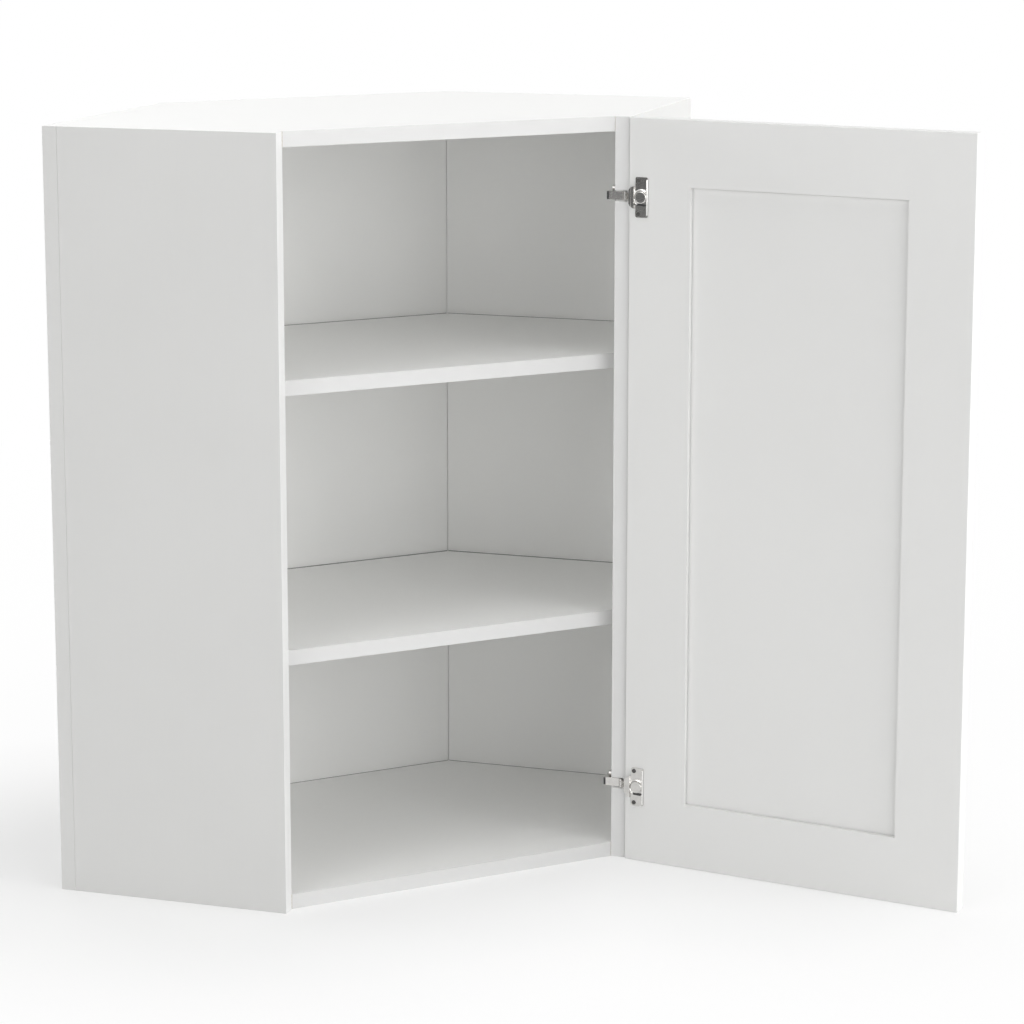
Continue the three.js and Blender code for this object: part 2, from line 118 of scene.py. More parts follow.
class Recipe:
    def __init__(self, tree):
        self.tree = tree

    def node(self, kind, settings, sockets, output=0):
        made = self.tree.nodes.new("ShaderNode" + kind)
        for name, value in settings.items():
            if name == "stops":
                self.fillRamp(made.color_ramp, value)
            else:
                setattr(made, name, value)
        for name, value in sockets.items():
            if isinstance(value, Signal):
                self.tree.links.new(value.socket, made.inputs[name])
            else:
                made.inputs[name].default_value = value
        return Signal(self, made.outputs[output])

    def fillRamp(self, ramp, stops):
        while len(ramp.elements) < len(stops):
            ramp.elements.new(0.5)  # it gets its place below
        for element, (position, colour) in zip(ramp.elements, stops):
            element.position = position
            element.color = colour

    def place(self):
        return self.node("TexCoord", {}, {}, "Object")

    def noise(self, scale, detail=3.0, stretch=(1, 1, 1)):
        mapped = self.node("Mapping", {}, {"Vector": self.place(), "Scale": stretch})
        return self.node("TexNoise", {}, {"Vector": mapped, "Scale": scale, "Detail": detail})

    def blend(self, amount, first, second):
        return self.node("Mix", {"data_type": "RGBA"}, {0: amount, 6: first, 7: second}, 2)

    def widen(self, signal, low, high):  # low becomes 0 and high becomes 1
        sockets = {"Value": signal, "From Min": low, "From Max": high}
        return self.node("MapRange", {}, sockets)

    def bump(self, height, strength, depth):
        return self.node("Bump", {}, {"Strength": strength, "Distance": depth, "Height": height})

    def glow(self, colour):  # a strength of 1 shows the colour as it is written
        return self.node("Emission", {}, {"Color": colour, "Strength": 1.0})

    def outputTo(self, kind, shader):
        out = self.tree.nodes.new("ShaderNode" + kind)
        self.tree.links.new(shader.socket, out.inputs["Surface"])


def emptyRecipe(tree):
    tree.nodes.clear()
    return Recipe(tree)


def newFinish(name):
    material = bpy.data.materials.new(name)
    material.use_nodes = True
    return material, emptyRecipe(material.node_tree)


# Meshes

weldDistance = 1e-6
flatAngle = math.radians(0.5)  # faces that meet at less than this are one face
sharpAngle = math.radians(30)  # edges past this are arrises


def finishMesh(name, bm, smooth=None):
    if smooth is not None:
        for face in bm.faces:
            face.smooth = True
        for edge in bm.edges:
            edge.smooth = edge.calc_face_angle(0) < smooth
    mesh = bpy.data.meshes.new(name)
    bm.to_mesh(mesh)
    bm.free()
    made = bpy.data.objects.new(name, mesh)
    scene.collection.objects.link(made)
    return made


def mergedCopy(node):
    bm = bmesh.new()
    bm.from_mesh(nodes[node].data)
    bmesh.ops.remove_doubles(bm, verts=bm.verts, dist=weldDistance)
    bmesh.ops.dissolve_limit(bm, angle_limit=flatAngle, verts=bm.verts, edges=bm.edges)
    return bm


def sharpEdges(bm):
    return [edge for edge in bm.edges if edge.calc_face_angle(0) > sharpAngle]


def roundArrises(bm, edges, radius):
    bmesh.ops.bevel(bm, geom=edges, offset=radius, affect="EDGES", segments=3,
                    profile=0.5, material=-1)


def cutAcross(bm, way, place):  # square to the way, at that distance along it
    everything = bm.verts[:] + bm.edges[:] + bm.faces[:]
    bmesh.ops.bisect_plane(bm, geom=everything, plane_co=way * place, plane_no=way)


# Studio: a white room with soft lamps

studio = {
    "skyWhite": (1.0, 1.0, 1.0, 1),
    "skyLight": 0.03,
    "skyShown": 1.0,  # a strength of 1 is white
    "lamps": {
        "key_softbox": {"turn": 38, "rise": 36, "away": 5.2, "size": 3.2, "power": 42},
        "high_front_softbox": {"turn": 10, "rise": 50, "away": 5.2, "size": 3.2, "power": 15},
        "low_front_softbox": {"turn": 0, "rise": 10, "away": 5.0, "size": 3.6, "power": 58},
        "opening_softbox": {"turn": 24, "rise": 12, "away": 5.0, "size": 3.0, "power": 19},
        "front_right_softbox": {"turn": 45, "rise": 12, "away": 5.0, "size": 3.6, "power": 92},
        "front_left_softbox": {"turn": -55, "rise": 18, "away": 5.0, "size": 3.0, "power": 32},
        "left_softbox": {"turn": -75, "rise": 25, "away": 5.0, "size": 3.2, "power": 48},
        "right_softbox": {"turn": 85, "rise": 30, "away": 5.0, "size": 3.2, "power": 44},
        "back_softbox": {"turn": 180, "rise": 40, "away": 5.0, "size": 3.2, "power": 42},
        "rear_left_softbox": {"turn": -135, "rise": 12, "away": 5.0, "size": 2.0, "power": 50},
        "rear_right_softbox": {"turn": 135, "rise": 12, "away": 5.0, "size": 2.0, "power": 42},
        "top_softbox": {"turn": 0, "rise": 88, "away": 4.5, "size": 4.0, "power": 66},
    },
    "matteLamps": ("rear_left_softbox", "rear_right_softbox", "front_right_softbox", "key_softbox",
                   "opening_softbox"),  # these leave no glare on the top
    "darkCard": {"grey": (0.13, 0.13, 0.13, 1), "middle": (-5.0, -2.0, 0.66), "size": (7.0, 1.32)},
    "aim": (0.05, -0.15, 0.45),
    "floorColour": (0.90, 0.90, 0.895, 1),
    "floorRadius": 20,
    "floorSides": 96,
    # The object's own shade lies within so far of two lines, and the paper glows white away from it
    "floorLines": [((-0.22, 0.02), (0.25, 0.02), 0.21), ((0.224, -0.209), (0.35, -0.388), 0.0)],
    "floorReach": 2.5,
    "floorLift": [(0.0, 0.42), (0.02, 0.45), (0.04, 0.52), (0.064, 0.62), (0.108, 0.80),
                  (0.16, 0.93), (0.4, 0.98), (1.0, 1.0)],
}


def seenStraight(recipe):
    ray = [recipe.node("LightPath", {}, {}, name) for name in (
        "Is Camera Ray", "Is Glossy Ray", "Is Transmission Ray")]
    return ray[0].larger(ray[1]).larger(ray[2])


def makeSky(look):
    world = bpy.data.worlds.new("white_room")
    world.use_nodes = True
    scene.world = world
    recipe = emptyRecipe(world.node_tree)
    light, shown = [
        recipe.node("Background", {}, {"Color": look["skyWhite"], "Strength": strength})
        for strength in (look["skyLight"], look["skyShown"])]
    mixed = recipe.node("MixShader", {}, {0: seenStraight(recipe), 1: light, 2: shown})
    recipe.outputTo("OutputWorld", mixed)


def wayTo(lamp):  # from the aim
    turn, rise = math.radians(lamp["turn"]), math.radians(lamp["rise"])
    level = math.cos(rise)
    return Vector((math.sin(turn) * level, -math.cos(turn) * level, math.sin(rise)))


def makeLamps(look):
    for name, lamp in look["lamps"].items():
        light = bpy.data.lights.new(name, "AREA")
        light.shape = "DISK"
        light.size = lamp["size"]
        light.energy = lamp["power"]
        holder = bpy.data.objects.new(name, light)
        holder.location = Vector(look["aim"]) + wayTo(lamp) * lamp["away"]
        holder.rotation_euler = wayTo(lamp).to_track_quat("Z", "Y").to_euler()
        holder.visible_glossy = name not in look["matteLamps"]
        scene.collection.objects.link(holder)


def fromLine(recipe, start, end):
    start, end = Vector((*start, 0)), Vector((*end, 0))
    run = end - start
    offset = recipe.node("VectorMath", {"operation": "SUBTRACT"}, {0: recipe.place(), 1: start})
    along = recipe.node("VectorMath", {"operation": "DOT_PRODUCT"}, {
        0: offset, 1: run / run.length_squared}, "Value")
    share = recipe.node("Clamp", {}, {"Value": along})
    nearest = recipe.node("VectorMath", {"operation": "SCALE"}, {0: run, "Scale": share})
    return recipe.node("VectorMath", {"operation": "DISTANCE"}, {0: offset, 1: nearest}, "Value")


def makeFloor(look):
    bm = bmesh.new()
    bmesh.ops.create_circle(bm, cap_ends=True, segments=look["floorSides"], radius=look["floorRadius"])
    floor = finishMesh("floor", bm)
    material, recipe = newFinish("floor_paper")
    gaps = [fromLine(recipe, start, end) - reach for start, end, reach in look["floorLines"]]
    share = gaps[0].smaller(gaps[1]) * (1 / look["floorReach"])
    stops = [(place, (lift, lift, lift, 1)) for place, lift in look["floorLift"]]
    fade = recipe.node("ValToRGB", {"stops": stops}, {"Fac": share})
    glowing = fade * seenStraight(recipe)
    paper = recipe.node("BsdfDiffuse", {}, {"Color": look["floorColour"]})
    mixed = recipe.node("MixShader", {}, {0: glowing, 1: paper, 2: recipe.glow(look["skyWhite"])})
    recipe.outputTo("OutputMaterial", mixed)
    floor.data.materials.append(material)


def makeDarkCard(look):  # only reflections show it
    bm = bmesh.new()
    bmesh.ops.create_grid(bm, x_segments=1, y_segments=1, size=0.5)
    width, height = look["size"]
    bmesh.ops.scale(bm, vec=(height, width, 1), verts=bm.verts)
    upright = Matrix.Rotation(quarterTurn, 4, "Y")
    bmesh.ops.transform(bm, matrix=Matrix.Translation(look["middle"]) @ upright, verts=bm.verts)
    card = finishMesh("dark_card", bm)
    material, recipe = newFinish("dark_card")
    recipe.outputTo("OutputMaterial", recipe.glow(look["grey"]))
    card.data.materials.append(material)
    card.visible_camera = card.visible_diffuse = card.visible_shadow = False


makeSky(studio)
makeLamps(studio)
makeFloor(studio)
makeDarkCard(studio["darkCard"])
print("studio lit")


# Finishes: each blends two tones over the surface, and has a fine relief

finishes = {
    "board": {"colour": (0.948, 0.948, 0.935, 1), "shade": (0.935, 0.935, 0.922, 1), "roughness": 0.42,
              "gloss": 0.5},
    # painted shade: the board's white made darker for the outer faces of the carcass
    "shadedOuter": {"colour": (0.735, 0.735, 0.725, 1), "shade": (0.72, 0.72, 0.71, 1), "roughness": 0.5,
                "gloss": 0.2},
    # painted shade: both edge tapes are darker copies of the board's white, the ends' and shelves' front
    # edges darker than the sides'
    "shadedSideTape": {"colour": (0.77, 0.77, 0.765, 1), "shade": (0.76, 0.76, 0.755, 1), "roughness": 0.36},
    "shadedFrontTape": {"colour": (0.70, 0.70, 0.695, 1), "shade": (0.69, 0.69, 0.685, 1), "roughness": 0.36},
    # painted shade: the dark grey of the bands on the backs behind the flat boards' edges
    "paintedGapShade": {"colour": (0.38, 0.38, 0.375, 1), "shade": (0.34, 0.34, 0.335, 1), "roughness": 0.8},
    "rawEdge": {"colour": (0.62, 0.54, 0.42, 1), "shade": (0.40, 0.32, 0.23, 1), "roughness": 0.85},
    "paint": {"colour": (0.81, 0.81, 0.80, 1), "shade": (0.80, 0.80, 0.79, 1), "roughness": 0.34,
              "gloss": 0.5},
    # painted shade: the door lacquer made darker for the door's front faces
    "shadedDoorFront": {"colour": (0.72, 0.72, 0.71, 1), "shade": (0.71, 0.71, 0.70, 1), "roughness": 0.34,
                  "gloss": 0.3},
    "nickel": {"colour": (0.68, 0.67, 0.65, 1), "shade": (0.60, 0.59, 0.575, 1), "roughness": 0.12},
    "polished": {"colour": (0.95, 0.945, 0.93, 1), "shade": (0.90, 0.895, 0.88, 1), "roughness": 0.16},
    "screw": {"colour": (0.50, 0.49, 0.48, 1), "shade": (0.42, 0.41, 0.40, 1), "roughness": 0.24},
    # painted shade: the leaf screws are made near black for the shade in their countersunk holes
    "leafScrewShade": {"colour": (0.16, 0.155, 0.15, 1), "shade": (0.10, 0.10, 0.095, 1), "roughness": 0.3},
    "blackBlock": {"colour": (0.03, 0.03, 0.032, 1), "shade": (0.02, 0.02, 0.02, 1), "roughness": 0.5},
    "beech": {"colour": (0.57, 0.39, 0.20, 1), "shade": (0.44, 0.28, 0.13, 1), "roughness": 0.62},
}


def surface(recipe, sockets):
    recipe.outputTo("OutputMaterial", recipe.node("BsdfPrincipled", {}, sockets))


def unevenRoughness(signal, look, spread):
    return signal * spread + (look["roughness"] - spread / 2)


melamine = {
    "cloud": {"scale": 6.0, "detail": 2.0},
    "grain": {"scale": 260.0, "detail": 4.0, "stretch": (1, 1, 0.05)},
    "pores": {"scale": 1400.0, "detail": 2.0},
    "tones": (0.3, 0.7),
    "cloudShare": 0.8,  # of the tone, and the grain has the rest
    "poreShare": 0.7,  # of the relief
    "spread": 0.12,
    "relief": {"strength": 0.07, "depth": 0.2 * mm},
}


def makeBoardFinish(name, look):
    material, recipe = newFinish(name)
    cloud, grain, pores = [recipe.noise(**melamine[kind]) for kind in ("cloud", "grain", "pores")]
    tone = cloud * melamine["cloudShare"] + grain * (1 - melamine["cloudShare"])
    height = pores * melamine["poreShare"] + grain * (1 - melamine["poreShare"])
    surface(recipe, {
        "Base Color": recipe.blend(recipe.widen(tone, *melamine["tones"]), look["shade"], look["colour"]),
        "Roughness": unevenRoughness(pores, look, melamine["spread"]),
        "Specular IOR Level": look["gloss"],
        "Normal": recipe.bump(height, **melamine["relief"]),
    })
    return material


tape = {"fine": {"scale": 500.0, "detail": 2.0}, "spread": 0.1,
        "relief": {"strength": 0.08, "depth": 0.1 * mm}}


def makeTapeFinish(name, look):
    material, recipe = newFinish(name)
    fine = recipe.noise(**tape["fine"])
    surface(recipe, {
        "Base Color": recipe.blend(fine, look["colour"], look["shade"]),
        "Roughness": unevenRoughness(fine, look, tape["spread"]),
        "Normal": recipe.bump(fine, **tape["relief"]),
    })
    return material


chipboard = {"chips": {"scale": 420.0, "detail": 4.0}, "tones": (0.35, 0.65),
             "relief": {"strength": 0.5, "depth": 0.3 * mm}}


def makeRawEdgeFinish(look):
    material, recipe = newFinish("raw_chipboard")
    chips = recipe.noise(**chipboard["chips"])
    tone = recipe.widen(chips, *chipboard["tones"])
    surface(recipe, {
        "Base Color": recipe.blend(tone, look["shade"], look["colour"]),
        "Roughness": look["roughness"],
        "Normal": recipe.bump(chips, **chipboard["relief"]),
    })
    return material


lacquer = {"cloud": {"scale": 5.0, "detail": 2.0}, "peel": {"scale": 420.0, "detail": 2.0},
           "tones": (0.3, 0.7), "spread": 0.1, "relief": {"strength": 0.15, "depth": 0.2 * mm}}


def makePaintFinish(name, look):
    material, recipe = newFinish(name)
    tone = recipe.widen(recipe.noise(**lacquer["cloud"]), *lacquer["tones"])
    peel = recipe.noise(**lacquer["peel"])
    surface(recipe, {
        "Base Color": recipe.blend(tone, look["shade"], look["colour"]),
        "Roughness": unevenRoughness(peel, look, lacquer["spread"]),
        "Specular IOR Level": look["gloss"],
        "Normal": recipe.bump(peel, **lacquer["relief"]),
    })
    return material


plating = {"cloud": {"scale": 180.0, "detail": 3.0},
           "scratches": {"scale": 2600.0, "detail": 2.0, "stretch": (0.1, 0.1, 1)},
           "tones": (0.25, 0.75), "spread": 0.14, "relief": {"strength": 0.1, "depth": 0.05 * mm}}


def makeMetalFinish(name, look):
    material, recipe = newFinish(name)
    tone = recipe.widen(recipe.noise(**plating["cloud"]), *plating["tones"])
    scratches = recipe.noise(**plating["scratches"])
    surface(recipe, {
        "Base Color": recipe.blend(tone, look["shade"], look["colour"]),
        "Metallic": 1.0,
        "Roughness": unevenRoughness(scratches, look, plating["spread"]),
        "Normal": recipe.bump(scratches, **plating["relief"]),
    })
    return material


plastic = {"fine": {"scale": 900.0, "detail": 2.0}, "spread": 0.2,
           "relief": {"strength": 0.2, "depth": 0.1 * mm}}


def makePlasticFinish(look):
    material, recipe = newFinish("black_plastic")
    fine = recipe.noise(**plastic["fine"])
    surface(recipe, {
        "Base Color": recipe.blend(fine, look["shade"], look["colour"]),
        "Roughness": unevenRoughness(fine, look, plastic["spread"]),
        "Normal": recipe.bump(fine, **plastic["relief"]),
    })
    return material


beech = {"grain": {"scale": 700.0, "detail": 3.0, "stretch": (1, 0.1, 1)},
         "relief": {"strength": 0.3, "depth": 0.2 * mm}}


def makeBeechFinish(look):
    material, recipe = newFinish("raw_beech")
    grain = recipe.noise(**beech["grain"])
    surface(recipe, {
        "Base Color": recipe.blend(grain, look["shade"], look["colour"]),
        "Roughness": look["roughness"],
        "Normal": recipe.bump(grain, **beech["relief"]),
    })
    return material


boardFinish = makeBoardFinish("white_melamine", finishes["board"])
shadedOuterFinish = makeBoardFinish("melamine_painted_shade_outer", finishes["shadedOuter"])
shadedSideTapeFinish = makeTapeFinish("side_edge_tape_painted_shade", finishes["shadedSideTape"])
shadedFrontTapeFinish = makeTapeFinish("front_edge_tape_painted_shade", finishes["shadedFrontTape"])
paintedGapShadeFinish = makeTapeFinish("painted_gap_shade", finishes["paintedGapShade"])
rawEdgeFinish = makeRawEdgeFinish(finishes["rawEdge"])
paintFinish = makePaintFinish("door_lacquer", finishes["paint"])
shadedDoorFrontFinish = makePaintFinish("door_lacquer_painted_shade_front", finishes["shadedDoorFront"])
nickelFinish = makeMetalFinish("bright_nickel", finishes["nickel"])
polishedFinish = makeMetalFinish("polished_nickel", finishes["polished"])
screwFinish = makeMetalFinish("dull_nickel", finishes["screw"])
leafScrewShadeFinish = makeMetalFinish("leaf_screw_painted_shade", finishes["leafScrewShade"])
blackBlockFinish = makePlasticFinish(finishes["blackBlock"])
beechFinish = makeBeechFinish(finishes["beech"])
print("finishes mixed")


# Ways across the plan: along a wall towards the back corner, and out from that wall

slant = math.sqrt(0.5)
up = Vector((0, 0, 1))
leftAlong, leftOut = Vector((slant, slant, 0)), Vector((slant, -slant, 0))
rightAlong, rightOut = Vector((-slant, slant, 0)), Vector((-slant, -slant, 0))
front = Vector((0, -1, 0))
straight = 0.99  # a face looks along a way where the cosine between them is more than this
mostly = 0.75  # and it has the finish of that side where it is more than this


def isFacing(face, way, least=straight):
    return face.normal.dot(way) > least


def facesAlong(bm, way):
    return [face for face in bm.faces if isFacing(face, way)]


def growFace(bm, way, distance):
    verts = {vert for face in facesAlong(bm, way) for vert in face.verts}
    bmesh.ops.translate(bm, verts=list(verts), vec=way * distance)


shortEdge = 10 * mm  # this or less stays sharp


def openEdges(bm, ways):  # between faces that all look one of these ways
    def isOpen(face):
        return any(isFacing(face, way) for way in ways)
    return [edge for edge in sharpEdges(bm)
            if edge.calc_length() > shortEdge and all(isOpen(face) for face in edge.link_faces)]


# Carcass boards: soft arrises where an edge is open, glued joints closed, tape on the front

boards = {
    "arris": 0.5 * mm,
    "mitreArris": 0.7 * mm,
    "shelfBackArris": 3.0 * mm,
    "endBackArris": 2.5 * mm,
    "tape": 1.0 * mm,
    "jointGap": 0.28 * mm,
    "gapInset": 0.15 * mm,
    "tall": 0.5,  # metres, less than any upright edge
    "against": ("bottom_panel", "lower_shelf", "upper_shelf", "top_panel"),  # these meet the backs
    "sides": {
        "left_side_panel": (leftAlong, leftOut),
        "right_side_panel": (rightAlong, rightOut),
    },
    "wallBacks": {
        "left_wall_back_panel": (leftAlong, leftOut),
        "right_wall_back_panel": (rightAlong, rightOut),
    },
    "ends": {"top_panel": -up, "bottom_panel": up},  # with the way to the inside
    "shelves": ("upper_shelf", "lower_shelf"),
}


# the tape skin, the skin of the outer faces and the gap skin are darker copies of the board's white, as
# painted shade
skins = {"melamine": 0, "tape": 1, "shadedOuter": 2, "raw": 3, "gap": 4}  # in finishBoard's order


def tapeEdge(bm, way, thickness):
    start = max(vert.co.dot(way) for vert in bm.verts) - thickness
    cutAcross(bm, way, start)
    for face in bm.faces:
        isTape = face.calc_center_median().dot(way) > start
        face.material_index = skins["tape" if isTape else "melamine"]


def paintFaces(bm, ways, skin):
    for face in bm.faces:
        if any(isFacing(face, way, mostly) for way in ways):
            face.material_index = skins[skin]


def tallEdges(bm, way, look):  # the upright sharp edges of the face that looks this way
    return [edge for edge in sharpEdges(bm) if edge.calc_length() > look["tall"]
            and any(isFacing(face, way) for face in edge.link_faces)]


def finishBoard(node, bm, edgeFinish=shadedFrontTapeFinish):
    board = finishMesh("finished_" + node, bm)
    for finish in (boardFinish, edgeFinish, shadedOuterFinish, rawEdgeFinish, paintedGapShadeFinish):
        board.data.materials.append(finish)
    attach(board, "carcass")
    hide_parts(node)


# The backs get a band of painted shade behind the edges of the flat boards, so the gap there reads dark.
# The default start lies below every board.

def shadeGaps(bm, out, look, along=up, start=-mm):
    inset = look["gapInset"]
    bands = [(low.z + inset, high.z - inset) for low, high in map(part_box, look["against"])]
    for band in bands:
        for height in band:
            cutAcross(bm, up, height)
    cutAcross(bm, along, start)
    for face in facesAlong(bm, out):
        middle = face.calc_center_median()
        if middle.dot(along) > start and any(low < middle.z < high for low, high in bands):
            # a face inside a band takes the painted shade
            face.material_index = skins["gap"]


def makeSide(node, along, out, look):
    bm = mergedCopy(node)
    outer = openEdges(bm, (-along, out, up, -up))
    inner = openEdges(bm, (along, out))
    roundArrises(bm, outer + inner, look["arris"])
    tapeEdge(bm, out, look["tape"])
    paintFaces(bm, (-along,), "shadedOuter")
    finishBoard(node, bm, shadedSideTapeFinish)


def makeWallBack(node, along, out, look):
    bm = mergedCopy(node)
    mitre = max(tallEdges(bm, out, look), key=lambda edge: edge.verts[0].co.dot(along))
    roundArrises(bm, [mitre], look["mitreArris"])
    roundArrises(bm, openEdges(bm, (-along, -out, up, -up)), look["arris"])
    paintFaces(bm, (-along, -out), "shadedOuter")
    side = nodes[node.replace("wall_back", "side")]
    inside = max(vert.co.dot(along) for vert in side.data.vertices)
    shadeGaps(bm, out, look, along, inside + look["gapInset"])
    finishBoard(node, bm)


def makeCornerBack(look):
    bm = mergedCopy("corner_back_panel")
    roundArrises(bm, tallEdges(bm, front, look), look["mitreArris"])
    roundArrises(bm, openEdges(bm, (-front, up, -up)), look["arris"])
    paintFaces(bm, (-front,), "shadedOuter")
    shadeGaps(bm, front, look)
    finishBoard("corner_back_panel", bm)


def makeEnd(node, inward, look):
    bm = mergedCopy(node)
    growFace(bm, -leftAlong, look["jointGap"])
    growFace(bm, -rightAlong, look["jointGap"])
    backWays = (-leftOut, -rightOut, -front, inward)
    hidden = [edge for edge in openEdges(bm, backWays)
              if any(isFacing(face, inward) for face in edge.link_faces)]
    roundArrises(bm, hidden, look["endBackArris"])
    roundArrises(bm, openEdges(bm, (front, up, -up)), look["arris"])
    tapeEdge(bm, front, look["tape"])
    paintFaces(bm, (-leftAlong, -rightAlong, -leftOut, -rightOut, -front), "raw")
    finishBoard(node, bm)


def makeShelf(node, look):
    bm = mergedCopy(node)
    backWays = (-leftAlong, -rightAlong, -leftOut, -rightOut, -front)
    hidden = [edge for edge in openEdges(bm, (*backWays, up, -up))
              if any(abs(face.normal.z) > straight for face in edge.link_faces)]
    visible = [edge for edge in sharpEdges(bm) if edge not in hidden]
    roundArrises(bm, hidden, look["shelfBackArris"])
    roundArrises(bm, [edge for edge in visible if edge.is_valid], look["arris"])
    tapeEdge(bm, front, look["tape"])
    paintFaces(bm, backWays, "raw")
    finishBoard(node, bm)


for node, (along, out) in boards["sides"].items():
    makeSide(node, along, out, boards)
for node, (along, out) in boards["wallBacks"].items():
    makeWallBack(node, along, out, boards)
makeCornerBack(boards)
for node, inward in boards["ends"].items():
    makeEnd(node, inward, boards)
for node in boards["shelves"]:
    makeShelf(node, boards)
print("carcass boards finished")


# Door: five pieces under one coat of paint, which closes the joints of the frame. Their front faces take
# a darker copy of the lacquer, as painted shade

closedAngle = math.radians(frame["joints"][0]["range_deg"][0])
doorTurn = Matrix.Rotation(-closedAngle - math.pi, 4, "Z")
doorAlong, doorOut = doorTurn.col[0].xyz, doorTurn.col[1].xyz  # from the hinge edge, and through

door = {
    "arris": 0.7 * mm,
    "jointGap": 0.28 * mm,
    "shadowLine": {"width": 1.5 * mm, "depth": 0.16 * mm, "slope": 0.3 * mm},
}


def makeDoorPiece(node, ways, arris, closed=(), gap=0.0):
    bm = mergedCopy(node)
    for way in closed:
        growFace(bm, way, gap)
    roundArrises(bm, openEdges(bm, ways), arris)
    finishDoorPiece(node, bm)


def finishDoorPiece(node, bm):
    for face in bm.faces:
        # the front faces take the lacquer's copy with painted shade
        face.material_index = int(isFacing(face, doorOut, mostly))  # 0 inside and 1 in front
    piece = finishMesh("finished_" + node, bm)
    piece.data.materials.append(paintFinish)
    piece.data.materials.append(shadedDoorFrontFinish)
    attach(piece, "door")
    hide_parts(node)


def opening():  # of the frame, along the door and up it
    low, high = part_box("door_bottom_rail")[1].z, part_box("door_top_rail")[0].z
    start = max(vert.co.dot(doorAlong) for vert in nodes["door_hinge_stile"].data.vertices)
    end = min(vert.co.dot(doorAlong) for vert in nodes["door_free_stile"].data.vertices)
    return start, end, low, high


def makeCentrePanel(look):
    bm = mergedCopy("door_centre_panel")
    middle = sum((vert.co for vert in bm.verts), Vector()) / len(bm.verts)
    line = look["shadowLine"]
    start, end, low, high = opening()
    sides = [(way, reach - line["width"]) for way, reach in (
        (-doorAlong, -start), (doorAlong, end), (-up, -low), (up, high))]
    for way, reach in sides:
        for place in (reach, reach + line["slope"]):
            cutAcross(bm, way, place)
    for vert in bm.verts:
        if any(vert.co.dot(way) > reach + line["slope"] / 2 for way, reach in sides):
            side = math.copysign(1, (vert.co - middle).dot(doorOut))
            vert.co -= doorOut * side * line["depth"]
    bm.normal_update()
    finishDoorPiece("door_centre_panel", bm)


def makeDoor(look):
    faces = (doorOut, -doorOut)
    ends = (up, -up)
    makeDoorPiece("door_hinge_stile", (-doorAlong, *faces, *ends), look["arris"])
    makeDoorPiece("door_free_stile", (doorAlong, *faces, *ends), look["arris"])
    sideways = (doorAlong, -doorAlong)
    makeDoorPiece("door_top_rail", (up, *faces), look["arris"], sideways, look["jointGap"])
    makeDoorPiece("door_bottom_rail", (-up, *faces), look["arris"], sideways, look["jointGap"])
    makeCentrePanel(look)


makeDoor(door)
print("door finished")


# Metal pieces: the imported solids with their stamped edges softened

def softenLater(piece, width):
    bevel = piece.modifiers.new("arris", "BEVEL")
    bevel.width = width
    bevel.segments = 2
    bevel.limit_method = "ANGLE"
    bevel.angle_limit = sharpAngle
    bevel.harden_normals = True


def finishMetal(node, bm, body, finish, arris=0.0):
    piece = finishMesh("finished_" + node, bm, sharpAngle)
    if arris:
        softenLater(piece, arris)
    piece.data.materials.append(finish)
    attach(piece, body)
    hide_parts(node)


# Shelf pins

shelfPin = {"arris": 0.15 * mm}


def makeShelfPin(node, look):
    finishMetal(node, mergedCopy(node), "carcass", screwFinish, look["arris"])


# Hinges: their door parts have x from the door's hinge edge, y through the door, z up

hinge = {
    "arris": 0.14 * mm,
    "screwArris": 0.07 * mm,
    "arm": ("mounting_plate", "hinge_arm"),
    "armFasteners": ("plate_screw_bottom", "plate_screw_top", "depth_cam", "arm_screw",
                     "adjusting_screw", "hinge_pin"),
    "leafScrews": ("leaf_screw_bottom", "leaf_screw_top"),
}


def doorCorner():
    inverse = doorTurn.inverted()
    turned = [inverse @ vert.co for vert in nodes["door_hinge_stile"].data.vertices]
    return Vector((min(co.x for co in turned), min(co.y for co in turned), 0))


doorPlace = doorTurn @ Matrix.Translation(doorCorner())


def middleHeight(node):
    low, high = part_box(node)
    return (low.z + high.z) / 2


# The leaf's hood is pressed flat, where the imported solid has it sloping. Both are x and y in mm.

hood = {
    "sloped": [(1.1, -3.8), (4.2, -3.1), (8.8, -0.9)],
    "pressed": [(1.1, -3.8), (2.0, -3.7), (7.6, -3.6), (8.8, -0.9)],
}


def heightAlong(path, x):
    for (start, low), (end, high) in zip(path, path[1:]):
        if start <= x <= end:
            return low + (high - low) * (x - start) / (end - start)
    return 0.0


def pressHood(bm, look):
    bmesh.ops.transform(bm, matrix=doorPlace.inverted(), verts=bm.verts)
    bends = {x for path in look.values() for x, y in path[1:]}
    for x in sorted(bends):
        cutAcross(bm, Vector((1, 0, 0)), x * mm)
    for vert in bm.verts:
        x = vert.co.x / mm
        vert.co.y += (heightAlong(look["pressed"], x) - heightAlong(look["sloped"], x)) * mm
    bmesh.ops.transform(bm, matrix=doorPlace, verts=bm.verts)
    return bm


def makeHinge(prefix, look):
    def finishAll(names, body, finish, arris):
        for name in names:
            finishMetal(prefix + name, mergedCopy(prefix + name), body, finish, arris)
    finishAll(look["arm"], "carcass", nickelFinish, look["arris"])
    leaf = prefix + "hinge_leaf"
    finishMetal(leaf, pressHood(mergedCopy(leaf), hood), "door", nickelFinish,
                look["arris"])
    finishAll(look["armFasteners"], "carcass", screwFinish, look["screwArris"])
    # the leaf screws take the near-black finish that paints the shade of their holes
    finishAll(look["leafScrews"], "door", leafScrewShadeFinish, look["screwArris"])


turnedAngle = math.radians(40)  # turned and cast faces run smooth up to this


def addExtra(name, bm, body, finish):
    extra = finishMesh(name, bm, turnedAngle)
    extra.data.materials.append(finish)
    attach(extra, body)


